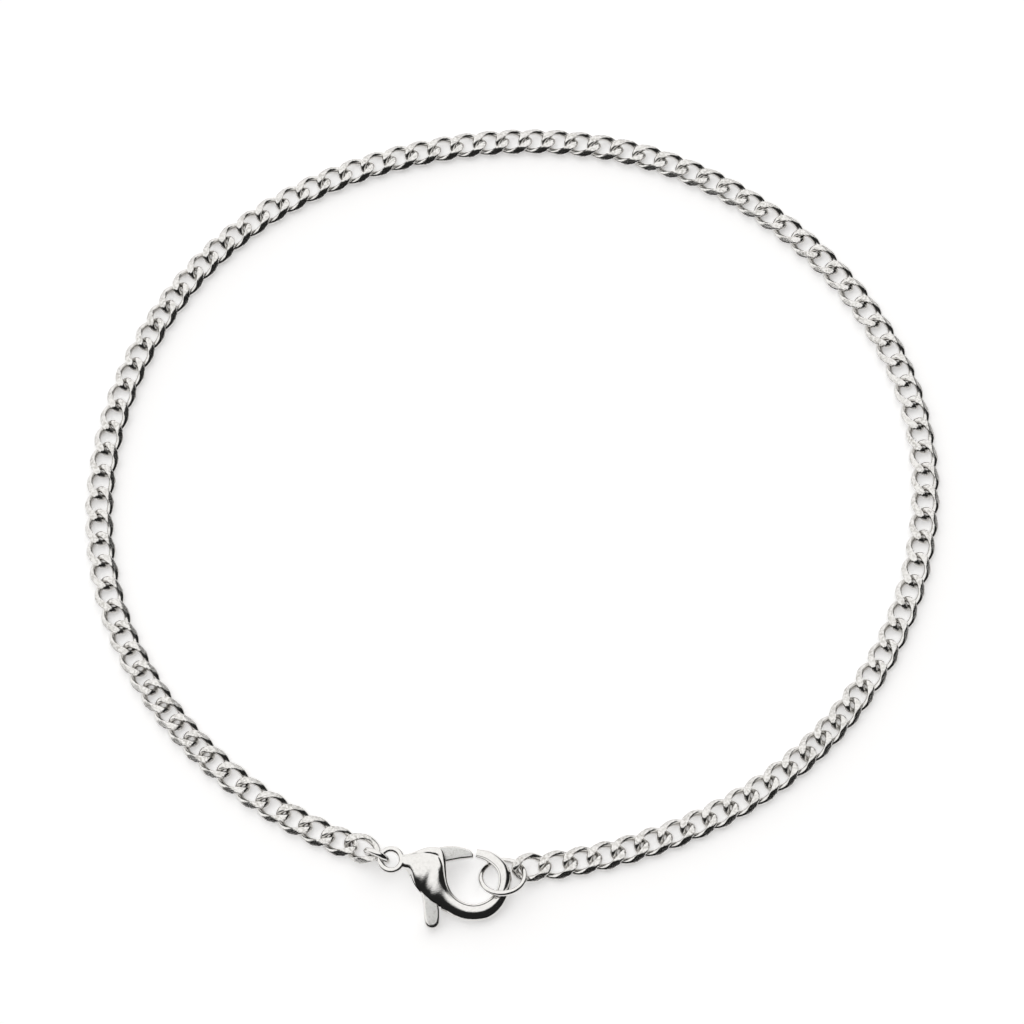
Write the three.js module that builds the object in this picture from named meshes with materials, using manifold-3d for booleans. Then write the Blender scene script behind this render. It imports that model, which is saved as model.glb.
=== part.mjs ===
// A steel curb-link necklace, closed by a lobster clasp and lying as a whole loop on a flat surface.
// Millimetres, +Z up. The surface is z = 0, and the origin is under the middle of the object's box.

import * as THREE from 'three';
import { mergeVertices } from 'three/addons/utils/BufferGeometryUtils.js';
import Module from 'manifold-3d';

const wasm = await Module();
wasm.setup();

// The loop that the chain's middle line follows, seen from above.
// Its radius is routeMean plus waves that repeat "turns" times round the loop.
const routeCentre = { x: -0.225, y: 4.124 };
const routeMean = 71.59;
const routeWaves = [
  { turns: 2, cos: 1.744, sin: 0.808 },
  { turns: 3, cos: 0.176, sin: 0.113 },
  { turns: 4, cos: -0.038, sin: -0.075 },
  { turns: 5, cos: 0.05, sin: -0.052 },
  { turns: 6, cos: 0.014, sin: 0.222 },
];
const firstLinkAngle = -87.15;

// One link: an oval of round wire, twisted along its length, with its top and bottom ground flat.
const linkCount = 100;
const middle = linkCount / 2;
const wireRadius = 0.62;
const linkHalfLength = 2.9;
const linkHalfWidth = 1.97;
const linkTwist = 41;
const linkThickness = 1.94;
const facetReach = 0.13;
const linkSides = 10;
const wireSides = 6;

// The chain is pulled tighter in some stretches than in others: up to the link "last", the middle of the
// next link lies "pitch" further along the route.
const pitchRows = [
  { last: 1, pitch: 4.42 },
  { last: 12, pitch: 4.185 },
  { last: 16, pitch: 3.956 },
  { last: 40, pitch: 4.33 },
  { last: 44, pitch: 4.2 },
  { last: 58, pitch: 4.268 },
  { last: 64, pitch: 4.33 },
  { last: 71, pitch: 4.165 },
  { last: 86, pitch: 4.33 },
  { last: 92, pitch: 3.994 },
  { last: linkCount, pitch: 4.33 },
];

// The halves of the chain meet in links that are slimmer at the end where they pass through each other.
const meetingSlim = 0.16;

// The links that the two rings pass through don't lie flat: "pitch" raises a link's leading end, "roll" its
// inner side, "turn" swings it inward, and "lift" and "shift" move its middle up and along the chain.
const endLinks = [
  { link: 1, lift: 0.433, pitch: -8.74, roll: 3.14, turn: 4.08, shift: -0.1 },
  { link: linkCount, lift: 0.635, pitch: 10.58, roll: 8.77, turn: -7.07, shift: -0.2 },
];

// The clasp lies on its dome and hook, so it leans a little. Its own origin is the centre of its eye.
const claspAt = { x: -20.660, y: -64.694, z: 2.855 };
const claspRoll = 6;
const claspPitch = 2.4;

// The clasp's body, from its neck through the dome and round the hook to the tip. A row is one section:
// its inner and outer edge in the clasp's own plane, and half its thickness there.
const bodyRows = [
  { inX: 1.75, inY: 0.85, outX: 1.5, outY: -1.1, half: 0.62 },
  { inX: 2.9, inY: 0.95, outX: 2.1, outY: -1.45, half: 0.95 },
  { inX: 4.5, inY: 1.45, outX: 2.85, outY: -2.2, half: 1.75 },
  { inX: 5.9, inY: 1.9, outX: 3.75, outY: -3.95, half: 2.3 },
  { inX: 7.3, inY: 2.0, outX: 4.6, outY: -5.1, half: 2.42 },
  { inX: 8.6, inY: 1.6, outX: 5.3, outY: -5.9, half: 2.35 },
  { inX: 9.25, inY: 0.1, outX: 6.1, outY: -6.7, half: 2.2 },
  { inX: 9.4, inY: -2.05, outX: 7.1, outY: -7.5, half: 1.9 },
  { inX: 9.6, inY: -4.0, outX: 8.7, outY: -8.6, half: 1.6 },
  { inX: 10.45, inY: -5.8, outX: 10.65, outY: -9.65, half: 1.35 },
  { inX: 11.9, inY: -7.0, outX: 12.4, outY: -10.2, half: 1.15 },
  { inX: 13.7, inY: -7.5, outX: 14.4, outY: -10.3, half: 1.05 },
  { inX: 15.4, inY: -7.2, outX: 16.6, outY: -9.85, half: 1.02 },
  { inX: 16.9, inY: -6.3, outX: 18.5, outY: -8.4, half: 1.0 },
  { inX: 17.85, inY: -4.9, outX: 19.85, outY: -6.1, half: 0.96 },
  { inX: 18.2, inY: -3.0, outX: 20.45, outY: -3.2, half: 0.92 },
  { inX: 17.65, inY: -1.5, outX: 19.6, outY: -0.6, half: 0.88 },
  { inX: 16.0, inY: -0.15, outX: 17.15, outY: 1.4, half: 0.84 },
  { inX: 14.3, inY: 0.5, outX: 14.55, outY: 2.0, half: 0.8 },
];
const bodySides = 12;
const eyeRing = { outer: 2.35, inner: 1.3, half: 0.55, sides: 12 };

// The trigger: gate and thumb tab cut from one plate, with chamfered edges, turning on the pivot pin.
const pivot = { x: 6.6, y: -1.3 };
const triggerThickness = 1.5;
const triggerChamfer = 0.22;
const slotThickness = 1.95;
const pinRadius = 0.5;
const pinClearance = 0.1;
const pinReach = 1.45;
const pinSides = 10;

// Round wire rings.
const jumpRing = { radius: 3.73, wire: 0.45, sides: 16, wireSides: 6 };
const jumpRingAt = { x: -1.731, y: -67.455, z: 2.122 };
const jumpRingLean = 26.56;
const jumpRingHeading = 8.26;
const endRing = { radius: 2.02, wire: 0.5, sides: 12, wireSides: 6 };
const endRingAt = { x: -23.047, y: -64.030, z: 2.813 };
const endRingLean = 91.63;
const endRingHeading = -24.92;

const steel = { colour: 0xc9c7c4, metalness: 1, roughness: 0.3 };
const polished = { colour: 0xd2d1cf, metalness: 1, roughness: 0.12 };
const satin = { colour: 0xb9b8b6, metalness: 1, roughness: 0.45 };

const degrees = THREE.MathUtils.degToRad;

// The route.

function routePoint(angle) {
  let radius = routeMean;
  for (const wave of routeWaves) {
    radius += wave.cos * Math.cos(wave.turns * angle) + wave.sin * Math.sin(wave.turns * angle);
  }
  return new THREE.Vector2(
    routeCentre.x + radius * Math.cos(angle),
    routeCentre.y + radius * Math.sin(angle),
  );
}

// The angle that lies "travel" further along the route than a start angle.
function angleAfter(start, travel) {
  const step = degrees(0.02);
  let angle = start;
  let here = routePoint(angle);
  let left = travel;
  for (;;) {
    const next = routePoint(angle + step);
    const length = next.distanceTo(here);
    if (length >= left) {
      return angle + (step * left) / length;
    }
    left -= length;
    angle += step;
    here = next;
  }
}

// The route angle of every link, link 1 first.
function linkAngles() {
  const angles = [degrees(firstLinkAngle)];
  for (let link = 1; link < linkCount; link += 1) {
    const row = pitchRows.find((entry) => link <= entry.last);
    angles.push(angleAfter(angles[link - 1], row.pitch));
  }
  return angles;
}

// Meshes and solids.

// A closed surface from rings of points: each ring joins the next, and the last joins the first if
// "loop" is set. Otherwise a fan closes each end.
function surfaceFromRings(rings, loop) {
  const sides = rings[0].length;
  const points = rings.flat();
  const faces = [];
  const last = loop ? rings.length : rings.length - 1;
  for (let ring = 0; ring < last; ring += 1) {
    const here = ring * sides;
    const next = ((ring + 1) % rings.length) * sides;
    for (let side = 0; side < sides; side += 1) {
      const other = (side + 1) % sides;
      faces.push(here + side, next + side, next + other);
      faces.push(here + side, next + other, here + other);
    }
  }
  if (!loop) {
    const end = (rings.length - 1) * sides;
    for (let side = 1; side < sides - 1; side += 1) {
      faces.push(0, side, side + 1);
      faces.push(end, end + side + 1, end + side);
    }
  }
  const geometry = new THREE.BufferGeometry();
  const positions = points.flatMap((point) => [point.x, point.y, point.z]);
  geometry.setAttribute('position', new THREE.Float32BufferAttribute(positions, 3));
  geometry.setIndex(faces);
  return geometry;
}

function toSolid(geometry) {
  const bare = new THREE.BufferGeometry();
  bare.setAttribute('position', geometry.getAttribute('position').clone());
  if (geometry.index) {
    bare.setIndex(geometry.index.clone());
  }
  const merged = mergeVertices(bare, 1e-4);
  return new wasm.Manifold(new wasm.Mesh({
    numProp: 3,
    vertProperties: new Float32Array(merged.getAttribute('position').array),
    triVerts: new Uint32Array(merged.index.array),
  }));
}

function toGeometry(solid) {
  const mesh = solid.getMesh();
  const geometry = new THREE.BufferGeometry();
  geometry.setAttribute('position', new THREE.Float32BufferAttribute(mesh.vertProperties, 3));
  geometry.setIndex(Array.from(mesh.triVerts));
  return geometry;
}

function namedMesh(name, geometry, finish) {
  const flat = geometry.index ? geometry.toNonIndexed() : geometry;
  flat.computeVertexNormals();
  const material = new THREE.MeshStandardMaterial({
    color: finish.colour,
    metalness: finish.metalness,
    roughness: finish.roughness,
  });
  const mesh = new THREE.Mesh(flat, material);
  mesh.name = name;
  return mesh;
}

// The chain.

// A link about its own middle: x runs along the chain, y inward, z up. "slimEnd" is 1 where its leading
// end is slimmer, -1 where its trailing end is, and 0 on any other link.
// The oval is turned about x, one way at each end, so that neighbours nest. Its wire's corners that pass
// the top or bottom plane, or come within facetReach of it, lie on it, which makes the ground facets.
function linkGeometry(slimEnd) {
  const top = linkThickness / 2;
  const middleLine = (turn) => {
    const x = linkHalfLength * Math.cos(turn);
    const wide = linkHalfWidth * Math.sin(turn);
    const twist = (-degrees(linkTwist) * x) / linkHalfLength;
    return new THREE.Vector3(x, wide * Math.cos(twist), wide * Math.sin(twist));
  };
  const rings = [];
  for (let station = 0; station < linkSides; station += 1) {
    const turn = (2 * Math.PI * (station + 0.5)) / linkSides;
    const centre = middleLine(turn);
    const along = middleLine(turn + 0.01).sub(middleLine(turn - 0.01)).normalize();
    const twist = (-degrees(linkTwist) * centre.x) / linkHalfLength;
    const outward = new THREE.Vector3(
      linkHalfWidth * Math.cos(turn),
      linkHalfLength * Math.sin(turn) * Math.cos(twist),
      linkHalfLength * Math.sin(turn) * Math.sin(twist),
    );
    outward.addScaledVector(along, -outward.dot(along)).normalize();
    const up = new THREE.Vector3().crossVectors(outward, along);
    const radius = wireRadius - meetingSlim * Math.max(0, slimEnd * Math.cos(turn));
    const ring = [];
    for (let side = 0; side < wireSides; side += 1) {
      const around = (2 * Math.PI * side) / wireSides;
      const point = centre.clone();
      point.addScaledVector(outward, radius * Math.cos(around));
      point.addScaledVector(up, radius * Math.sin(around));
      if (Math.abs(point.z) > top - facetReach) {
        point.z = Math.sign(point.z) * top;
      }
      ring.push(point);
    }
    rings.push(ring);
  }
  return surfaceFromRings(rings, true);
}

// Puts a link on the route with its bottom facets on the surface.
function linkPlacement(link, angle) {
  const point = routePoint(angle);
  const ahead = routePoint(angle + 0.001).sub(routePoint(angle - 0.001));
  const heading = Math.atan2(ahead.y, ahead.x);
  const place = new THREE.Matrix4().makeRotationZ(heading);
  place.setPosition(point.x, point.y, linkThickness / 2);
  const row = endLinks.find((entry) => entry.link === link);
  if (row) {
    const tilt = new THREE.Matrix4().makeRotationZ(degrees(row.turn));
    tilt.multiply(new THREE.Matrix4().makeRotationY(degrees(-row.pitch)));
    tilt.multiply(new THREE.Matrix4().makeRotationX(degrees(row.roll)));
    tilt.setPosition(row.shift, 0, row.lift);
    place.multiply(tilt);
  }
  return place;
}

// The links from "first" to "last", joined where they touch.
function chainGeometry(first, last, angles) {
  const solids = [];
  for (let number = first; number <= last; number += 1) {
    const slimEnd = number === middle ? 1 : number === middle + 1 ? -1 : 0;
    const link = linkGeometry(slimEnd).applyMatrix4(linkPlacement(number, angles[number - 1]));
    solids.push(toSolid(link));
  }
  return toGeometry(wasm.Manifold.union(solids));
}

// The rings.

function ringGeometry(ring) {
  const profile = [];
  for (let side = 0; side <= ring.wireSides; side += 1) {
    const around = (2 * Math.PI * side) / ring.wireSides;
    profile.push(new THREE.Vector2(
      ring.radius + ring.wire * Math.cos(around),
      ring.wire * Math.sin(around),
    ));
  }
  const geometry = new THREE.LatheGeometry(profile, ring.sides);
  geometry.rotateX(Math.PI / 2);
  return geometry;
}

// The clasp, about the centre of its eye: x towards the hook, y away from the thumb tab, z through it.

// One section of the body: an upright superellipse between its inner and outer edge.
function bodySection(row) {
  const ring = [];
  const squareness = 2 / 2.3;
  const rounded = (value) => Math.sign(value) * Math.abs(value) ** squareness;
  for (let side = 0; side < bodySides; side += 1) {
    const around = (2 * Math.PI * side) / bodySides;
    const across = rounded(Math.cos(around));
    const mix = (1 + across) / 2;
    ring.push(new THREE.Vector3(
      THREE.MathUtils.lerp(row.inX, row.outX, mix),
      THREE.MathUtils.lerp(row.inY, row.outY, mix),
      row.half * rounded(Math.sin(around)),
    ));
  }
  return ring;
}

function eyeGeometry() {
  const profile = [
    new THREE.Vector2(eyeRing.inner, -eyeRing.half * 0.6),
    new THREE.Vector2((eyeRing.inner + eyeRing.outer) / 2, -eyeRing.half),
    new THREE.Vector2(eyeRing.outer, -eyeRing.half * 0.5),
    new THREE.Vector2(eyeRing.outer, eyeRing.half * 0.5),
    new THREE.Vector2((eyeRing.inner + eyeRing.outer) / 2, eyeRing.half),
    new THREE.Vector2(eyeRing.inner, eyeRing.half * 0.6),
    new THREE.Vector2(eyeRing.inner, -eyeRing.half * 0.6),
  ];
  const geometry = new THREE.LatheGeometry(profile, eyeRing.sides);
  geometry.rotateX(Math.PI / 2);
  return geometry;
}

function cylinderAt(x, y, low, high, radius, sides) {
  const geometry = new THREE.CylinderGeometry(radius, radius, high - low, sides);
  geometry.rotateX(Math.PI / 2);
  geometry.translate(x, y, (low + high) / 2);
  return geometry;
}

function plateGeometry(outline, thickness, chamfer) {
  const geometry = new THREE.ExtrudeGeometry(outline, {
    depth: thickness - 2 * chamfer,
    bevelEnabled: chamfer > 0,
    bevelThickness: chamfer,
    bevelSize: chamfer,
    bevelOffset: -chamfer,
    bevelSegments: 1,
    curveSegments: 3,
  });
  geometry.translate(0, 0, -(thickness / 2 - chamfer));
  return geometry;
}

// The room that the trigger needs inside the body, open at the gate and at the tab.
function slotOutline() {
  const shape = new THREE.Shape();
  shape.moveTo(3.6, -1.9);
  shape.lineTo(2.6, -4.6);
  shape.lineTo(3.4, -9.9);
  shape.lineTo(8.9, -9.9);
  shape.lineTo(8.3, -7.4);
  shape.lineTo(7.95, -5.0);
  shape.lineTo(8.35, -2.9);
  shape.lineTo(9.8, -2.3);
  shape.lineTo(10.5, 3.2);
  shape.lineTo(6.3, 3.2);
  shape.lineTo(5.6, 1.4);
  shape.lineTo(4.3, 0.2);
  shape.closePath();
  return shape;
}

function triggerOutline() {
  const shape = new THREE.Shape();
  shape.moveTo(13.9, 0.36);
  shape.lineTo(13.92, 0.95);
  shape.quadraticCurveTo(13.6, 1.6, 12.9, 1.9);
  shape.quadraticCurveTo(9.8, 2.9, 6.9, 1.75);
  shape.quadraticCurveTo(5.0, 0.9, 4.75, -1.4);
  shape.lineTo(5.1, -5.3);
  shape.lineTo(5.55, -7.6);
  shape.lineTo(5.75, -10.7);
  shape.quadraticCurveTo(6.0, -11.7, 7.05, -11.75);
  shape.quadraticCurveTo(8.1, -11.7, 8.3, -10.7);
  shape.lineTo(8.2, -8.6);
  shape.lineTo(7.55, -5.0);
  shape.lineTo(7.9, -2.8);
  shape.quadraticCurveTo(8.2, -1.0, 9.0, -0.4);
  shape.lineTo(11.7, 0.13);
  shape.closePath();
  return shape;
}

function claspBodyGeometry() {
  const shell = toSolid(surfaceFromRings(bodyRows.map(bodySection), false));
  const eye = toSolid(eyeGeometry());
  const eyeHole = toSolid(cylinderAt(0, 0, -3, 3, eyeRing.inner, eyeRing.sides));
  const slot = toSolid(plateGeometry(slotOutline(), slotThickness, 0));
  const pinHole = toSolid(cylinderAt(pivot.x, pivot.y, -4, pinReach, pinRadius + pinClearance, pinSides));
  return toGeometry(shell.subtract(eyeHole).add(eye).subtract(slot).subtract(pinHole));
}

function triggerGeometry() {
  const plate = toSolid(plateGeometry(triggerOutline(), triggerThickness, triggerChamfer));
  const hole = toSolid(cylinderAt(pivot.x, pivot.y, -2, 2, pinRadius + pinClearance, pinSides));
  return toGeometry(plate.subtract(hole));
}

// The whole necklace.

const angles = linkAngles();

const necklace = new THREE.Group();
necklace.add(namedMesh('chain_right', chainGeometry(1, middle, angles), steel));
necklace.add(namedMesh('chain_left', chainGeometry(middle + 1, linkCount, angles), steel));

const clasp = new THREE.Group();
clasp.position.set(claspAt.x, claspAt.y, claspAt.z);
clasp.rotation.set(degrees(claspRoll), degrees(claspPitch), 0);
clasp.add(namedMesh('clasp_body', claspBodyGeometry(), polished));
clasp.add(namedMesh('clasp_trigger', triggerGeometry(), satin));
const pin = cylinderAt(pivot.x, pivot.y, -2.1, pinReach - pinClearance, pinRadius, pinSides);
clasp.add(namedMesh('pivot_pin', pin, polished));
necklace.add(clasp);

const jump = namedMesh('jump_ring', ringGeometry(jumpRing), polished);
jump.position.set(jumpRingAt.x, jumpRingAt.y, jumpRingAt.z);
jump.rotation.set(degrees(-jumpRingLean), 0, degrees(jumpRingHeading), 'ZXY');
necklace.add(jump);

const end = namedMesh('end_ring', ringGeometry(endRing), polished);
end.position.set(endRingAt.x, endRingAt.y, endRingAt.z);
end.rotation.set(degrees(endRingLean), 0, degrees(endRingHeading), 'ZXY');
necklace.add(end);

export default necklace;
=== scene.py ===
"""The looks of a steel curb-link necklace with a lobster clasp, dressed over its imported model.

Lengths are in millimetres inside the classes, and become metres where a mesh is made.
"""

import logging
import math
from dataclasses import dataclass, field
from enum import Enum
from typing import Any, Sequence

import bpy
import numpy as np
from mathutils import Euler, Matrix

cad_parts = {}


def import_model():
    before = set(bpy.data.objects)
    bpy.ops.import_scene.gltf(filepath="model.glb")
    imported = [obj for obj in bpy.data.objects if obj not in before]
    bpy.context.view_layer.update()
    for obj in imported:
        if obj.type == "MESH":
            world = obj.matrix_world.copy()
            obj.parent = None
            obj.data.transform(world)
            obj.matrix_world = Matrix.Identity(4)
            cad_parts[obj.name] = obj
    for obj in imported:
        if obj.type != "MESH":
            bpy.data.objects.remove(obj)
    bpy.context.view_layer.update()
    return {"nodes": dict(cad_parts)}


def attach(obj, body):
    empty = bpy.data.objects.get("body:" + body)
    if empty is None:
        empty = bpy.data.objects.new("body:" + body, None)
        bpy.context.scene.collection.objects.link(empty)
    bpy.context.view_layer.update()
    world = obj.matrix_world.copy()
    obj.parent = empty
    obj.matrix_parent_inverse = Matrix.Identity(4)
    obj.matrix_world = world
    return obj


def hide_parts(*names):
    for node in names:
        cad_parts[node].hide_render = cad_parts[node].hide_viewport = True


LOG = logging.getLogger("necklace")
MM = 0.001
LINE_SPACING = 0.6
BEND_POINTS = 14


class Body(Enum):
    """The rigid bodies that the pieces ride on."""

    NECKLACE = "necklace"
    TRIGGER = "trigger"


# Shader nodes


class Socket:
    """An output of a shader node, with arithmetic that adds Math nodes."""

    def __init__(self, shader: "Shader", output: Any) -> None:
        """Keeps the tree and the output."""
        self.shader = shader
        self.output = output

    def _math(self, operation: str, first: Any, second: Any) -> "Socket":
        """Adds one Math node.

        Args:
            operation: The node's operation.
            first: A socket or a number.
            second: A socket or a number.

        Returns:
            The node's output.
        """
        return self.shader.node("ShaderNodeMath", {"operation": operation}, {0: first, 1: second})

    def __add__(self, other: Any) -> "Socket":
        """self + other."""
        return self._math("ADD", self, other)

    def __radd__(self, other: Any) -> "Socket":
        """other + self."""
        return self._math("ADD", other, self)

    def __sub__(self, other: Any) -> "Socket":
        """self - other."""
        return self._math("SUBTRACT", self, other)

    def __rsub__(self, other: Any) -> "Socket":
        """other - self."""
        return self._math("SUBTRACT", other, self)

    def __mul__(self, other: Any) -> "Socket":
        """self * other."""
        return self._math("MULTIPLY", self, other)

    def __rmul__(self, other: Any) -> "Socket":
        """other * self."""
        return self._math("MULTIPLY", other, self)

    def ramped(self, low: float, high: float) -> "Socket":
        """Smoothly goes from 0 at low to 1 at high.

        Args:
            low: The value that becomes 0.
            high: The value that becomes 1.

        Returns:
            The eased value.
        """
        settings = {"interpolation_type": "SMOOTHSTEP"}
        values = {"Value": self, "From Min": low, "From Max": high, "To Min": 0.0, "To Max": 1.0}
        return self.shader.node("ShaderNodeMapRange", settings, values)


class Shader:
    """Makes nodes in the tree of one material or world."""

    def __init__(self, tree: Any) -> None:
        """Empties the tree and keeps it."""
        self.tree = tree
        tree.nodes.clear()

    def node(self, kind: str, settings: dict[str, Any], values: dict[Any, Any], out: Any = 0) -> Socket:
        """Adds a node, sets its properties, then its sockets.

        Args:
            kind: The node's type.
            settings: Properties of the node, set first.
            values: Numbers, tuples or Sockets for its inputs, by name or index.
            out: Name or index of the output to give back.

        Returns:
            The chosen output.
        """
        made = self.tree.nodes.new(kind)
        for name, value in settings.items():
            setattr(made, name, value)
        for key, value in values.items():
            if isinstance(value, Socket):
                self.tree.links.new(value.output, made.inputs[key])
            else:
                made.inputs[key].default_value = value
        has_output = len(made.outputs) > 0
        return Socket(self, made.outputs[out] if has_output else None)

    def mix_colours(self, factor: Any, first: Any, second: Any) -> Socket:
        """Blends two colours.

        Args:
            factor: 0 gives the first colour and 1 the second.
            first: A colour or a Socket.
            second: A colour or a Socket.

        Returns:
            The blended colour.
        """
        values = {0: factor, 6: first, 7: second}
        return self.node("ShaderNodeMix", {"data_type": "RGBA"}, values, 2)


# Finishes


@dataclass(frozen=True)
class SteelFinish:
    """Steel whose ground faces are satin and mottled and whose other faces are polished.

    A piece's "ground" attribute says how ground it is, from 0 for polished to 1 for fully ground.
    """

    name: str
    polished_colour: tuple[float, float, float] = (0.74, 0.73, 0.715)
    ground_colour: tuple[float, float, float] = (0.72, 0.71, 0.695)
    stain_colour: tuple[float, float, float] = (0.4, 0.385, 0.36)
    stain_strength: float = 0.8
    polished_roughness: float = 0.13
    ground_roughness: float = 0.2
    speckle_size: float = 0.5
    bump_height: float = 0.12
    bump_strength: float = 0.5
    # Sizes of the larger and the finer noise, as multiples of the speckle's.
    cloud_scale: float = 5.0
    grain_scale: float = 0.35
    speckle_detail: float = 3.0
    other_detail: float = 2.0
    noise_roughness: float = 0.55
    # Where the stain begins and is full, in the speckle and in the cloud that thins it.
    speckle_edges: tuple[float, float] = (0.4, 0.62)
    cloud_edges: tuple[float, float] = (0.35, 0.65)
    cloud_share: float = 0.6
    polished_stain: float = 0.45
    # How much the noise swings each roughness about its mean.
    ground_swing: float = 0.5
    polished_swing: float = 0.3
    polished_relief: float = 0.3
    speckle_relief: float = 0.3

    def material(self) -> Any:
        """Makes the material.

        Returns:
            The Blender material.
        """
        made = bpy.data.materials.new(self.name)
        made.use_nodes = True
        shader = Shader(made.node_tree)
        place = shader.node("ShaderNodeTexCoord", {}, {}, "Object")
        ground = shader.node("ShaderNodeAttribute", {"attribute_name": "ground"}, {}, "Fac")
        speckle = self._noise(shader, place, self.speckle_size, self.speckle_detail)
        cloud = self._noise(shader, place, self.speckle_size * self.cloud_scale, self.other_detail)
        grain = self._noise(shader, place, self.speckle_size * self.grain_scale, self.other_detail)
        thinned = (1 - self.cloud_share) + self.cloud_share * cloud.ramped(*self.cloud_edges)
        stain = speckle.ramped(*self.speckle_edges) * thinned * self.stain_strength
        worn = shader.mix_colours(stain, (*self.ground_colour, 1), (*self.stain_colour, 1))
        faint = stain * self.polished_stain
        bright = shader.mix_colours(faint, (*self.polished_colour, 1), (*self.stain_colour, 1))
        colour = shader.mix_colours(ground, bright, worn)
        satin = self.ground_roughness * (1 - self.ground_swing / 2 + self.ground_swing * speckle)
        smooth = self.polished_roughness * (1 - self.polished_swing / 2 + self.polished_swing * cloud)
        roughness = smooth + ground * (satin - smooth)
        relief = self.polished_relief + (1 - self.polished_relief) * ground
        height = relief * ((1 - self.speckle_relief) * grain + self.speckle_relief * speckle)
        values = {"Height": height, "Strength": self.bump_strength, "Distance": self.bump_height * MM}
        normal = shader.node("ShaderNodeBump", {}, values)
        values = {"Base Color": colour, "Metallic": 1.0, "Roughness": roughness, "Normal": normal}
        surface = shader.node("ShaderNodeBsdfPrincipled", {}, values)
        shader.node("ShaderNodeOutputMaterial", {}, {"Surface": surface})
        return made

    def _noise(self, shader: Shader, place: Socket, size: float, detail: float) -> Socket:
        """Adds a noise pattern.

        Args:
            shader: The material's nodes.
            place: The coordinates that it reads.
            size: Rough size of one blotch, in millimetres.
            detail: How many finer layers it has.

        Returns:
            The noise, around 0.5.
        """
        values = {"Vector": place, "Scale": 1.0 / (size * MM), "Detail": detail}
        values["Roughness"] = self.noise_roughness
        return shader.node("ShaderNodeTexNoise", {}, values, "Fac")


# Meshes


@dataclass
class Surface:
    """Vertices in millimetres, faces, and where the surface is ground."""

    points: np.ndarray
    faces: list[tuple[int, ...]]
    ground: np.ndarray

    def placed(self, place: Matrix) -> "Surface":
        """The same surface under a transform.

        Args:
            place: A 4 by 4 transform in millimetres.

        Returns:
            The moved surface.
        """
        turn = np.array(place.to_3x3())
        shift = np.array(place.translation)
        return Surface(self.points @ turn.T + shift, self.faces, self.ground)


def join(surfaces: Sequence[Surface]) -> Surface:
    """Puts surfaces into one, each still a shell of its own.

    Args:
        surfaces: The surfaces.

    Returns:
        The joined surface.
    """
    faces: list[tuple[int, ...]] = []
    offset = 0
    for surface in surfaces:
        faces.extend(tuple(index + offset for index in face) for face in surface.faces)
        offset += len(surface.points)
    points = np.concatenate([surface.points for surface in surfaces])
    ground = np.concatenate([surface.ground for surface in surfaces])
    return Surface(points, faces, ground)


def grid_faces(rows: int, columns: int, loop: bool) -> np.ndarray:
    """Quads between neighbouring rows of a grid whose rows are closed rings.

    Args:
        rows: Number of rings.
        columns: Points in each ring.
        loop: True where the last ring joins the first.

    Returns:
        One row of four indices for each quad.
    """
    row = np.arange(rows if loop else rows - 1)[:, None]
    column = np.arange(columns)[None, :]
    after_row = (row + 1) % rows
    after_column = (column + 1) % columns
    corners = (
        row * columns + column,
        after_row * columns + column,
        after_row * columns + after_column,
        row * columns + after_column,
    )
    return np.stack([np.broadcast_to(c, (row.size, columns)) for c in corners], -1).reshape(-1, 4)


def make_piece(name: str, surface: Surface, sharp_degrees: float) -> Any:
    """Makes a Blender object from a surface.

    Args:
        name: The piece's name.
        surface: Its surface, in millimetres.
        sharp_degrees: Edges that turn by more than this are creases.

    Returns:
        The object, at the origin.
    """
    mesh = bpy.data.meshes.new(name)
    mesh.from_pydata((surface.points * MM).tolist(), [], surface.faces)
    mesh.attributes.new("ground", "FLOAT", "POINT").data.foreach_set("value", surface.ground)
    mesh.polygons.foreach_set("use_smooth", [True] * len(mesh.polygons))
    mesh.update()
    mesh.set_sharp_from_angle(angle=math.radians(sharp_degrees))
    piece = bpy.data.objects.new(name, mesh)
    bpy.context.scene.collection.objects.link(piece)
    return piece


def dress(piece: Any, finish: Any, body: Body, nodes: Sequence[str]) -> None:
    """Gives a piece its finish, its body and the nodes that it stands for.

    Args:
        piece: The Blender object.
        finish: Its material.
        body: The body that it rides on.
        nodes: The nodes that it replaces.
    """
    piece.data.materials.clear()
    piece.data.materials.append(finish)
    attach(piece, body.value)
    if nodes:
        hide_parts(*nodes)
    LOG.info("%s: %d faces", piece.name, len(piece.data.polygons))


# The chain


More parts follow.
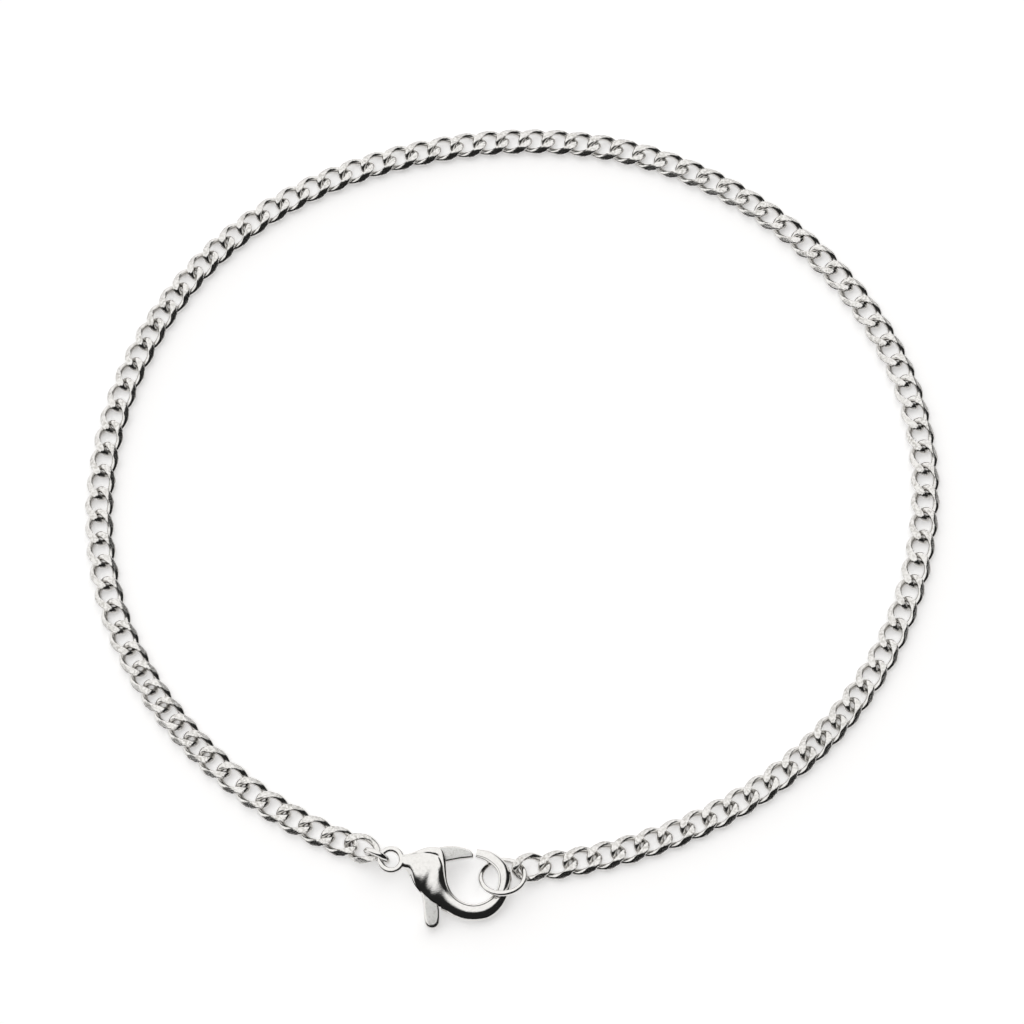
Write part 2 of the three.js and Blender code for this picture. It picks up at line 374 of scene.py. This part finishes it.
@dataclass
class Route:
    """The loop that the chain's middle line follows, seen from above.

    Its radius is the mean radius plus waves that repeat some number of times round the loop.
    """

    centre_x: float = -0.225
    centre_y: float = 4.124
    mean_radius: float = 71.59
    waves: tuple[tuple[int, float, float], ...] = (
        (2, 1.744, 0.808),
        (3, 0.176, 0.113),
        (4, -0.038, -0.075),
        (5, 0.05, -0.052),
        (6, 0.014, 0.222),
    )
    fine_points: int = 20001
    small_turn: float = 0.001

    def point(self, angle: Any) -> np.ndarray:
        """The route's points.

        Args:
            angle: Angles about the centre, in radians.

        Returns:
            x and y in the last axis.
        """
        angle = np.asarray(angle, float)
        radius = np.full_like(angle, self.mean_radius)
        for turns, cosine, sine in self.waves:
            radius = radius + cosine * np.cos(turns * angle) + sine * np.sin(turns * angle)
        x = self.centre_x + radius * np.cos(angle)
        y = self.centre_y + radius * np.sin(angle)
        return np.stack([x, y], -1)

    def angles_at(self, start: float, travels: np.ndarray) -> np.ndarray:
        """The angles that lie given lengths along the route from a start angle.

        Args:
            start: The angle of length zero, in radians.
            travels: Lengths along the route, rising.

        Returns:
            One angle for each length.
        """
        fine = start + np.linspace(0.0, 2 * math.pi, self.fine_points)
        steps = np.linalg.norm(np.diff(self.point(fine), axis=0), axis=1)
        lengths = np.concatenate([[0.0], np.cumsum(steps)])
        return np.interp(travels, lengths, fine)

    def heading(self, angle: float) -> float:
        """The route's direction.

        Args:
            angle: Angle about the centre, in radians.

        Returns:
            The direction of travel, in radians.
        """
        ahead = self.point(angle + self.small_turn) - self.point(angle - self.small_turn)
        return math.atan2(ahead[1], ahead[0])


@dataclass
class CurbLink:
    """One link: an oval of round wire, twisted along its length, ground flat above and below and bevelled.

    x runs along the chain, y inward and z up, about the link's middle.
    """

    half_length: float = 2.9
    half_width: float = 1.97
    twist: float = 41.0
    wire: float = 0.63
    thickness: float = 1.94
    bevel_tilt: float = 40.0
    bevel_reach: float = 1.75
    side_reach: float = 2.56
    top_wear: float = 0.8
    stations: int = 54
    sides: int = 36
    least_facet: float = 0.1
    least_slope: float = 0.05
    least_cut: float = 0.002
    deepest_cut: float = -0.9
    tangent_step: float = 0.01

    def surface(self) -> Surface:
        """The link's surface.

        Around the oval, t gives x = a cos t and a distance from the axis of b sin t, turned about x by
        the twist times x / a. Each section is a circle of the wire's radius across that line, cut by the
        planes of the ground faces.

        Returns:
            The closed surface.
        """
        t = 2 * np.pi * (np.arange(self.stations) + 0.5) / self.stations
        centre, turn = self._middle(t)
        along = self._middle(t + self.tangent_step)[0] - self._middle(t - self.tangent_step)[0]
        along /= np.linalg.norm(along, axis=1, keepdims=True)
        outward = np.stack([
            self.half_width * np.cos(t),
            self.half_length * np.sin(t) * np.cos(turn),
            self.half_length * np.sin(t) * np.sin(turn),
        ], -1)
        outward -= along * np.sum(outward * along, axis=1, keepdims=True)
        outward /= np.linalg.norm(outward, axis=1, keepdims=True)
        up = np.cross(outward, along)
        angle = self._section_angles(centre, outward, up)
        spoke = np.cos(angle)[..., None] * outward[:, None, :] + np.sin(angle)[..., None] * up[:, None, :]
        reach = np.full(angle.shape, self.wire)
        ground = np.zeros(angle.shape)
        for normal, distance, wear in self._planes():
            slope = spoke @ normal
            limit = (distance - centre @ normal)[:, None] / np.maximum(slope, self.least_slope)
            nearer = (slope > self.least_slope) & (limit < reach - self.least_cut)
            reach = np.where(nearer, limit, reach)
            ground = np.where(nearer, wear, ground)
        points = centre[:, None, :] + reach[..., None] * spoke
        faces = grid_faces(self.stations, self.sides, True)
        return Surface(points.reshape(-1, 3), [tuple(face) for face in faces.tolist()], ground.ravel())

    def _planes(self) -> list[tuple[np.ndarray, float, float]]:
        """The planes of the ground faces: above, below, four bevels and the two sides.

        Returns:
            The outward direction of each plane, its distance from the link's middle and how worn it is.
        """
        across = math.sin(math.radians(self.bevel_tilt))
        rise = math.cos(math.radians(self.bevel_tilt))
        planes = [(np.array([0.0, 0.0, z]), self.thickness / 2, self.top_wear) for z in (1, -1)]
        planes += [(np.array([0.0, y, 0.0]), self.side_reach, 1.0) for y in (1, -1)]
        for y in (1, -1):
            for z in (1, -1):
                planes.append((np.array([0.0, y * across, z * rise]), self.bevel_reach, 1.0))
        return planes

    def _middle(self, t: np.ndarray) -> tuple[np.ndarray, np.ndarray]:
        """The wire's middle line and how far it is turned about x.

        Args:
            t: Positions round the oval, in radians.

        Returns:
            Points and turns.
        """
        x = self.half_length * np.cos(t)
        wide = self.half_width * np.sin(t)
        turn = -math.radians(self.twist) * x / self.half_length
        return np.stack([x, wide * np.cos(turn), wide * np.sin(turn)], -1), turn

    def _section_angles(self, centre: np.ndarray, outward: np.ndarray, up: np.ndarray) -> np.ndarray:
        """Even angles round each section, with the nearest one moved onto each edge of a ground face.

        Args:
            centre: Middle of each section.
            outward: Its outward direction.
            up: Its other direction.

        Returns:
            One row of angles for each section.
        """
        step = 2 * np.pi / self.sides
        angle = np.tile(step * np.arange(self.sides), (self.stations, 1))
        for normal, distance, _ in self._planes():
            slope = np.hypot(outward @ normal, up @ normal)
            facing = np.arctan2(up @ normal, outward @ normal)
            room = (distance - centre @ normal) / (self.wire * slope)
            half = np.arccos(np.clip(room, self.deepest_cut, 1.0))
            cut_rows = np.nonzero(half > self.least_facet)[0]
            for edge in (facing - half, facing + half):
                nearest = np.rint(edge / step).astype(int) % self.sides
                angle[cut_rows, nearest[cut_rows]] = edge[cut_rows]
        return angle


@dataclass
class Chain:
    """The hundred links, in two halves that meet at the back."""

    route: Route = field(default_factory=Route)
    link: CurbLink = field(default_factory=CurbLink)
    first_angle: float = math.radians(-87.15)
    count: int = 100
    # Up to the link in the first column, the next link lies the second column further along.
    pitches: tuple[tuple[int, float], ...] = (
        (1, 4.42),
        (12, 4.185),
        (16, 3.956),
        (40, 4.33),
        (44, 4.2),
        (58, 4.268),
        (64, 4.33),
        (71, 4.165),
        (86, 4.33),
        (92, 3.994),
        (99, 4.33),
    )
    roll_jitter: float = 1.2
    yaw_jitter: float = 0.8
    jitter_seed: int = 7
    sharp: float = 24.0

    def placements(self) -> list[Matrix]:
        """Where every link lies, link 1 first.

        Returns:
            One transform for each link, in millimetres.
        """
        last_links = np.array([row[0] for row in self.pitches])
        row_of_link = np.searchsorted(last_links, np.arange(1, self.count))
        steps = np.array([row[1] for row in self.pitches])[row_of_link]
        travels = np.concatenate([[0.0], np.cumsum(steps)])
        angles = self.route.angles_at(self.first_angle, travels)
        chance = np.random.default_rng(self.jitter_seed)
        rolls = np.radians(chance.uniform(-self.roll_jitter, self.roll_jitter, self.count))
        yaws = np.radians(chance.uniform(-self.yaw_jitter, self.yaw_jitter, self.count))
        places = []
        for number, angle in enumerate(angles, start=1):
            x, y = self.route.point(angle)
            place = Matrix.Translation((x, y, self.link.thickness / 2))
            place = place @ Matrix.Rotation(self.route.heading(angle), 4, "Z")
            jitter = Matrix.Rotation(yaws[number - 1], 4, "Z") @ Matrix.Rotation(rolls[number - 1], 4, "X")
            places.append(place @ self._end_tilt(number, jitter))
        return places

    def _end_tilt(self, number: int, otherwise: Matrix) -> Matrix:
        """The pose of the two links that the rings pass through, about their place on the route.

        Args:
            number: The link.
            otherwise: The pose of any other link.

        Returns:
            A transform in millimetres.
        """
        if number == 1:
            return self._tilt(lift=0.433, pitch=-8.74, roll=3.14, turn=4.08, shift=-0.1)
        if number == self.count:
            return self._tilt(lift=0.635, pitch=10.58, roll=8.77, turn=-7.07, shift=-0.2)
        return otherwise

    @staticmethod
    def _tilt(lift: float, pitch: float, roll: float, turn: float, shift: float) -> Matrix:
        """A link's tilt.

        Args:
            lift: How far its middle rises.
            pitch: Rise of its leading end, in degrees.
            roll: Rise of its inner side, in degrees.
            turn: Swing inward, in degrees.
            shift: How far its middle moves along the chain.

        Returns:
            The transform in millimetres.
        """
        tilt = Matrix.Rotation(math.radians(turn), 4, "Z")
        tilt = tilt @ Matrix.Rotation(math.radians(-pitch), 4, "Y")
        tilt = tilt @ Matrix.Rotation(math.radians(roll), 4, "X")
        return Matrix.Translation((shift, 0, lift)) @ tilt

    def build(self, finish: Any) -> None:
        """Makes both halves.

        Args:
            finish: The chain's material.
        """
        shape = self.link.surface()
        links = [shape.placed(place) for place in self.placements()]
        middle = self.count // 2
        for side, part in (("right", links[:middle]), ("left", links[middle:])):
            piece = make_piece(f"links_{side}", join(part), self.sharp)
            dress(piece, finish, Body.NECKLACE, [f"chain_{side}"])


# The rings


@dataclass
class WireRing:
    """A ring of round wire, lying about its own z axis before it is placed."""

    name: str
    node: str
    radius: float
    wire: float
    centre: tuple[float, float, float]
    lean: float
    heading: float
    around: int = 144
    sides: int = 32
    sharp: float = 60.0

    def surface(self) -> Surface:
        """A torus: a circle of the wire's radius carried round the ring's circle.

        Returns:
            The closed surface.
        """
        turn = (2 * np.pi * np.arange(self.around) / self.around)[:, None]
        side = (2 * np.pi * np.arange(self.sides) / self.sides)[None, :]
        reach = self.radius + self.wire * np.cos(side)
        x = reach * np.cos(turn)
        y = reach * np.sin(turn)
        z = np.broadcast_to(self.wire * np.sin(side), x.shape)
        points = np.stack([x, y, z], -1).reshape(-1, 3)
        faces = grid_faces(self.around, self.sides, True)
        return Surface(points, [tuple(face) for face in faces.tolist()], np.zeros(len(points)))

    def build(self, finish: Any) -> None:
        """Makes the ring where it lies.

        Args:
            finish: Its material.
        """
        place = Matrix.Translation(self.centre)
        place = place @ Matrix.Rotation(math.radians(self.heading), 4, "Z")
        place = place @ Matrix.Rotation(math.radians(self.lean), 4, "X")
        piece = make_piece(self.name, self.surface().placed(place), self.sharp)
        dress(piece, finish, Body.NECKLACE, [self.node])


# The clasp


@dataclass
class LobsterClasp:
    """The clasp, about the centre of its eye: x towards the hook, y away from the tab, z through it."""

    centre: tuple[float, float, float] = (-20.66, -64.694, 2.855)
    roll: float = 6.0
    pitch: float = 2.4
    # Each row is a section of the body, from its neck to the hook's tip:
    # inner x and y, outer x and y, and half its thickness.
    rows: tuple[tuple[float, float, float, float, float], ...] = (
        (1.75, 0.85, 1.5, -1.1, 0.62),
        (2.9, 0.95, 2.1, -1.45, 0.95),
        (4.5, 1.45, 2.85, -2.2, 1.75),
        (5.9, 1.9, 3.64, -4.24, 2.3),
        (7.3, 2.0, 4.44, -5.53, 2.42),
        (8.6, 1.6, 5.1, -6.35, 2.35),
        (9.25, 0.1, 5.91, -7.11, 2.2),
        (9.4, -2.05, 6.94, -7.88, 1.9),
        (9.6, -4.0, 8.7, -8.6, 1.6),
        (10.45, -5.8, 10.65, -9.65, 1.35),
        (11.9, -7.0, 12.4, -10.2, 1.15),
        (13.7, -7.5, 14.4, -10.3, 1.05),
        (15.4, -7.2, 16.6, -9.85, 1.02),
        (16.9, -6.3, 18.5, -8.4, 1.0),
        (17.85, -4.9, 19.85, -6.1, 0.96),
        (18.2, -3.0, 20.45, -3.2, 0.92),
        (17.65, -1.5, 19.6, -0.6, 0.88),
        (16.0, -0.15, 17.15, 1.4, 0.84),
        (14.3, 0.5, 14.55, 2.0, 0.8),
    )
    steps_between: int = 6
    sides: int = 144
    ridge: float = -0.28
    inner_drop: float = 0.06
    inner_power: float = 10.0
    # The flank's power at two rows, and in between it changes evenly.
    flank_rows: tuple[float, float] = (6.0, 9.5)
    flank_powers: tuple[float, float] = (1.6, 1.85)
    groove_at: float = -0.66
    groove_width: float = 0.05
    groove_depth: float = 0.06
    eye_outer: float = 2.35
    eye_inner: float = 1.3
    eye_half: float = 0.6
    eye_power: float = 2.6
    eye_around: int = 96
    eye_sides: int = 24
    cutter_half: float = 3.0
    slot_thickness: float = 1.64
    trigger_thickness: float = 1.5
    trigger_round: float = 0.3
    tip_round: float = 0.72
    tip_start: float = -9.6
    tip_length: float = 1.6
    trigger_steps: int = 6
    body_sharp: float = 32.0
    trigger_sharp: float = 40.0

    def place(self) -> Matrix:
        """Where the clasp lies.

        Returns:
            The transform in millimetres.
        """
        rolled = Matrix.Rotation(math.radians(self.roll), 4, "X")
        pitched = Matrix.Rotation(math.radians(self.pitch), 4, "Y")
        return Matrix.Translation(self.centre) @ (rolled @ pitched)

    def body_surface(self) -> Surface:
        """The body: its sections, joined by a smooth curve through the rows.

        A section goes from its outer edge over the ridge to its inner edge and back below. Its u, from 1
        at the outer edge to -1 at the inner one, sets a point between the row's outer and inner places,
        and its height is a share of half the row's thickness.

        Returns:
            The closed surface, with flat ends.
        """
        rows = smooth_rows(np.array(self.rows), self.steps_between)
        across, height = self._section(len(rows))
        mix = (1 + across) / 2
        x = rows[:, 0:1] * (1 - mix) + rows[:, 2:3] * mix
        y = rows[:, 1:2] * (1 - mix) + rows[:, 3:4] * mix
        z = rows[:, 4:5] * height
        points = np.stack([x, y, z], -1).reshape(-1, 3)
        faces = [tuple(face) for face in grid_faces(len(rows), self.sides, False).tolist()]
        last = (len(rows) - 1) * self.sides
        faces.append(tuple(range(self.sides)))
        faces.append(tuple(last + side for side in reversed(range(self.sides))))
        return Surface(points, faces, np.zeros(len(points)))

    def _section(self, count: int) -> tuple[np.ndarray, np.ndarray]:
        """The unit sections.

        In the direction of an angle, with cosine c and sine s, a point lies (|c|^n + |s|^n)^(-1/n) from
        the ridge's foot. n is small on the outer flank, which makes it a slope, and large on the inner
        side, which a fine groove runs along.

        Args:
            count: Number of sections.

        Returns:
            u and height of the points, one row for each section, from the outer edge over the top.
        """
        turn = 2 * np.pi * np.arange(self.sides)[None] / self.sides
        outer = np.cos(turn) >= 0
        row = np.arange(count)[:, None] / self.steps_between
        power = np.where(outer, np.interp(row, self.flank_rows, self.flank_powers), self.inner_power)
        distance = (np.abs(np.cos(turn)) ** power + np.abs(np.sin(turn)) ** power) ** (-1 / power)
        reach = distance * np.cos(turn)
        across = self.ridge + reach * np.where(outer, 1 - self.ridge, 1 + self.ridge)
        slope = np.where(outer, 1.0, 1 - self.inner_drop * np.abs(reach))
        groove = self.groove_depth * np.exp(-(((across - self.groove_at) / self.groove_width) ** 2))
        return across, distance * np.sin(turn) * (slope - groove)

    def eye_surface(self) -> Surface:
        """The eye: a rounded, slightly flattened profile turned about z.

        Returns:
            The closed surface.
        """
        turn = (2 * np.pi * np.arange(self.eye_around) / self.eye_around)[:, None]
        side = 2 * np.pi * np.arange(self.eye_sides) / self.eye_sides
        middle = (self.eye_outer + self.eye_inner) / 2
        half = (self.eye_outer - self.eye_inner) / 2
        squared = 2 / self.eye_power
        reach = middle + half * np.sign(np.cos(side)) * np.abs(np.cos(side)) ** squared
        rise = self.eye_half * np.sign(np.sin(side)) * np.abs(np.sin(side)) ** squared
        x = reach * np.cos(turn)
        y = reach * np.sin(turn)
        z = np.broadcast_to(rise, x.shape)
        points = np.stack([x, y, z], -1).reshape(-1, 3)
        faces = grid_faces(self.eye_around, self.eye_sides, True)
        return Surface(points, [tuple(face) for face in faces.tolist()], np.zeros(len(points)))

    def slot_outline(self) -> np.ndarray:
        """The room that the trigger needs in the body.

        Returns:
            x and y of the outline's corners, anticlockwise.
        """
        return np.array([
            (3.6, -1.9), (2.6, -4.6), (3.4, -9.9), (8.9, -9.9), (8.3, -7.4), (7.95, -5.0),
            (8.35, -2.9), (9.8, -2.3), (10.5, 3.2), (6.3, 3.2), (5.6, 1.4), (4.3, 0.2),
        ])

    def trigger_outline(self) -> np.ndarray:
        """The trigger's outline: the gate's end, its curved back, the hidden boss and the tab.

        Returns:
            x and y of points round the outline, anticlockwise.
        """
        curve = [
            line((13.9, 0.36), (13.92, 0.95)),
            bend((13.92, 0.95), (13.6, 1.6), (12.9, 1.9)),
            bend((12.9, 1.9), (9.8, 2.9), (6.9, 1.75)),
            bend((6.9, 1.75), (5.0, 0.9), (4.75, -1.4)),
            line((4.75, -1.4), (5.1, -5.3)),
            line((5.1, -5.3), (5.55, -7.6)),
            line((5.55, -7.6), (5.75, -10.7)),
            bend((5.75, -10.7), (6.0, -11.7), (7.05, -11.75)),
            bend((7.05, -11.75), (8.1, -11.7), (8.3, -10.7)),
            line((8.3, -10.7), (8.2, -8.6)),
            line((8.2, -8.6), (7.55, -5.0)),
            line((7.55, -5.0), (7.9, -2.8)),
            bend((7.9, -2.8), (8.2, -1.0), (9.0, -0.4)),
            line((9.0, -0.4), (11.7, 0.13)),
            line((11.7, 0.13), (13.9, 0.36)),
        ]
        return np.concatenate(curve)

    def build(self, body_finish: Any, trigger_finish: Any) -> None:
        """Makes the body and the trigger.

        Args:
            body_finish: The body's material.
            trigger_finish: The trigger's material.
        """
        place = self.place()
        body = make_piece("clasp_shell", self.body_surface().placed(place), self.body_sharp)
        hole = plate(circle(0, 0, self.eye_inner, self.eye_around), self.cutter_half, 0.0, 0).placed(place)
        slot = plate(self.slot_outline(), self.slot_thickness / 2, 0.0, 0).placed(place)
        cut(body, make_piece("hole_cutter", hole, self.body_sharp), "DIFFERENCE")
        cut(body, make_piece("eye_joiner", self.eye_surface().placed(place), self.body_sharp), "UNION")
        cut(body, make_piece("slot_cutter", slot, self.body_sharp), "DIFFERENCE")
        body.data.set_sharp_from_angle(angle=math.radians(self.body_sharp))
        dress(body, body_finish, Body.NECKLACE, ["clasp_body"])
        outline = self.trigger_outline()
        near_tip = np.clip((self.tip_start - outline[:, 1]) / self.tip_length, 0, 1)
        rounding = self.trigger_round + near_tip * (self.tip_round - self.trigger_round)
        shape = plate(outline, self.trigger_thickness / 2, rounding, self.trigger_steps)
        lever = make_piece("gate_and_tab", shape.placed(place), self.trigger_sharp)
        dress(lever, trigger_finish, Body.TRIGGER, ["clasp_trigger"])


def smooth_rows(rows: np.ndarray, steps: int) -> np.ndarray:
    """Rows in between, on a cubic curve through every given row.

    The tangent at a row is half the difference of its neighbours, and the curve between two rows is the
    cubic with those ends and tangents.

    Args:
        rows: The given rows.
        steps: How many steps there are from one row to the next.

    Returns:
        The finer table.
    """
    tangent = np.gradient(rows, axis=0)
    t = (np.arange(steps) / steps)[None, :, None]
    here = rows[:-1, None, :]
    after = rows[1:, None, :]
    leave = tangent[:-1, None, :]
    arrive = tangent[1:, None, :]
    fine = (
        (2 * t**3 - 3 * t**2 + 1) * here
        + (t**3 - 2 * t**2 + t) * leave
        + (3 * t**2 - 2 * t**3) * after
        + (t**3 - t**2) * arrive
    )
    return np.concatenate([fine.reshape(-1, rows.shape[1]), rows[-1:]])


def line(start: tuple[float, float], end: tuple[float, float]) -> np.ndarray:
    """The start of a straight stretch, which the next stretch's start ends.

    Args:
        start: First point.
        end: Last point, which is left to the next stretch.

    Returns:
        Points along it.
    """
    length = math.dist(start, end)
    share = np.linspace(0, 1, max(1, round(length / LINE_SPACING)), endpoint=False)[:, None]
    return np.array(start) * (1 - share) + np.array(end) * share


def bend(start: tuple[float, float], pull: tuple[float, float], end: tuple[float, float]) -> np.ndarray:
    """A quadratic curve that leaves and arrives towards the pull point.

    Args:
        start: First point.
        pull: The curve's control point.
        end: Last point, which is left to the next stretch.

    Returns:
        Points along it.
    """
    t = np.linspace(0, 1, BEND_POINTS, endpoint=False)[:, None]
    return (1 - t) ** 2 * np.array(start) + 2 * t * (1 - t) * np.array(pull) + t**2 * np.array(end)


def circle(x: float, y: float, radius: float, count: int) -> np.ndarray:
    """Points on a circle, anticlockwise.

    Args:
        x: Its centre.
        y: Its centre.
        radius: Its radius.
        count: Number of points.

    Returns:
        x and y of the points.
    """
    turn = 2 * np.pi * np.arange(count) / count
    return np.stack([x + radius * np.cos(turn), y + radius * np.sin(turn)], -1)


def plate(outline: np.ndarray, half: float, rounding: Any, steps: int) -> Surface:
    """A plate with rounded edges: its outline is drawn in along a quarter circle near each face.

    Args:
        outline: x and y of its points, anticlockwise.
        half: Half its thickness.
        rounding: Radius of the rounded edge, or one radius for each point.
        steps: Steps of the quarter circle, or 0 for a square edge.

    Returns:
        The closed surface, ground on its two faces.
    """
    before = outline - np.roll(outline, 1, axis=0)
    after = np.roll(outline, -1, axis=0) - outline
    tangent = before / np.linalg.norm(before, axis=1, keepdims=True)
    tangent = tangent + after / np.linalg.norm(after, axis=1, keepdims=True)
    tangent /= np.linalg.norm(tangent, axis=1, keepdims=True)
    inward = np.stack([-tangent[:, 1], tangent[:, 0]], -1)
    quarter = np.linspace(np.pi / 2, 0, steps + 1)[:, None] if steps else np.array([[np.pi / 2]])
    radius = np.broadcast_to(rounding, len(outline))[None]
    drawn = radius * (1 - np.cos(quarter))
    level = half - radius + radius * np.sin(quarter)
    inset = np.concatenate([drawn, drawn[::-1]])
    height = np.concatenate([level, -level[::-1]])
    rings = outline[None] + inset[..., None] * inward[None]
    points = np.concatenate([rings, height[..., None]], -1).reshape(-1, 3)
    count = len(outline)
    faces = [tuple(face) for face in grid_faces(len(height), count, False).tolist()]
    last = (len(height) - 1) * count
    faces.append(tuple(range(count)))
    faces.append(tuple(last + index for index in reversed(range(count))))
    ground = np.repeat((np.arange(len(height)) % (len(height) - 1) == 0).astype(float), count)
    return Surface(points, faces, ground)


def cut(target: Any, tool: Any, operation: str) -> None:
    """Joins a piece with another or cuts it, and removes the other.

    Args:
        target: The piece that changes.
        tool: The piece that is used up.
        operation: DIFFERENCE or UNION.
    """
    modifier = target.modifiers.new("cut", "BOOLEAN")
    modifier.operation = operation
    modifier.solver = "EXACT"
    modifier.object = tool
    bpy.context.view_layer.update()
    shaped = target.evaluated_get(bpy.context.evaluated_depsgraph_get())
    mesh = bpy.data.meshes.new_from_object(shaped)
    target.modifiers.clear()
    target.data = mesh
    bpy.data.objects.remove(tool)


# The studio


@dataclass
class Studio:
    """A pale floor, soft light and the camera."""

    look_x: float = -0.19
    look_y: float = -0.484
    look_z: float = 1.0
    camera_back: float = 212.46
    camera_up: float = 525.85
    lens: float = 112.5
    sensor: float = 36.0
    floor_size: float = 6000.0
    floor_drop: float = 0.02
    bright_side: tuple[float, float, float] = (-0.42, 0.6, 0.68)
    ramp_low: float = 0.36
    ramp_high: float = 0.48
    dark_strength: float = 0.02
    bright_strength: float = 1.2
    floor_glow: float = 0.36
    card_colour: tuple[float, float, float, float] = (0.92, 0.92, 0.925, 1)
    card_roughness: float = 0.8
    card_gloss: float = 0.2
    glow_colour: tuple[float, float, float, float] = (1.0, 0.992, 0.985, 1)
    sky_colour: tuple[float, float, float, float] = (1.0, 0.995, 0.985, 1)
    # The camera's nearest and furthest distance, in metres.
    clip: tuple[float, float] = (0.01, 20.0)

    def build(self) -> None:
        """Makes everything that isn't part of the necklace."""
        self._floor()
        self._sky()
        self._camera()
        bpy.context.scene.view_settings.view_transform = "Standard"

    def _floor(self) -> None:
        """A wide sheet of smooth white card."""
        half = self.floor_size / 2 * MM
        z = -self.floor_drop * MM
        mesh = bpy.data.meshes.new("floor")
        corners = [(-half, -half, z), (half, -half, z), (half, half, z), (-half, half, z)]
        mesh.from_pydata(corners, [], [(0, 1, 2, 3)])
        floor = bpy.data.objects.new("floor", mesh)
        bpy.context.scene.collection.objects.link(floor)
        card = bpy.data.materials.new("white_card")
        card.use_nodes = True
        shader = Shader(card.node_tree)
        values = {
            "Base Color": self.card_colour,
            "Roughness": self.card_roughness,
            "Specular IOR Level": self.card_gloss,
            "Emission Color": self.glow_colour,
            "Emission Strength": self.floor_glow,
        }
        surface = shader.node("ShaderNodeBsdfPrincipled", {}, values)
        shader.node("ShaderNodeOutputMaterial", {}, {"Surface": surface})
        mesh.materials.append(card)

    def _sky(self) -> None:
        """A light tent: white above, behind and on the left, dark towards the front and the right."""
        world = bpy.data.worlds.new("light_tent")
        bpy.context.scene.world = world
        world.use_nodes = True
        shader = Shader(world.node_tree)
        direction = shader.node("ShaderNodeTexCoord", {}, {}, "Generated")
        values = {0: direction, 1: self.bright_side}
        facing = shader.node("ShaderNodeVectorMath", {"operation": "DOT_PRODUCT"}, values, "Value")
        strength = self.dark_strength + self.bright_strength * facing.ramped(self.ramp_low, self.ramp_high)
        values = {"Color": self.sky_colour, "Strength": strength}
        surface = shader.node("ShaderNodeBackground", {}, values)
        shader.node("ShaderNodeOutputWorld", {}, {"Surface": surface})

    def _camera(self) -> None:
        """The camera, which looks at a point a little above the floor."""
        data = bpy.data.cameras.new("camera")
        data.lens = self.lens
        data.sensor_width = self.sensor
        data.clip_start, data.clip_end = self.clip
        camera = bpy.data.objects.new("camera", data)
        camera.location = (
            self.look_x * MM,
            (self.look_y - self.camera_back) * MM,
            (self.look_z + self.camera_up) * MM,
        )
        camera.rotation_euler = Euler((math.atan2(self.camera_back, self.camera_up), 0, 0))
        bpy.context.scene.collection.objects.link(camera)
        bpy.context.scene.camera = camera


def main() -> None:
    """Loads the frame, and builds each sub-assembly."""
    logging.basicConfig(level=logging.INFO, format="%(name)s %(message)s")
    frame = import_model()
    chain_steel = SteelFinish("chain_steel").material()
    polished = SteelFinish(
        "polished_steel", stain_strength=0.3, polished_roughness=0.09, speckle_size=0.6, bump_height=0.06
    ).material()
    satin = SteelFinish(
        "satin_steel",
        ground_colour=(0.7, 0.7, 0.69),
        ground_roughness=0.3,
        speckle_size=0.2,
        stain_strength=0.6,
    ).material()
    Chain().build(chain_steel)
    LobsterClasp().build(polished, satin)
    WireRing("jump_wire", "jump_ring", 3.73, 0.48, (-1.731, -67.455, 2.122), -26.56, 8.26).build(polished)
    WireRing("end_wire", "end_ring", 2.02, 0.5, (-23.047, -64.03, 2.813), 91.63, -24.92).build(polished)
    pin = frame["nodes"]["pivot_pin"]
    pin.data.materials.clear()
    pin.data.materials.append(polished)
    Studio().build()


if __name__ == "__main__":
    main()
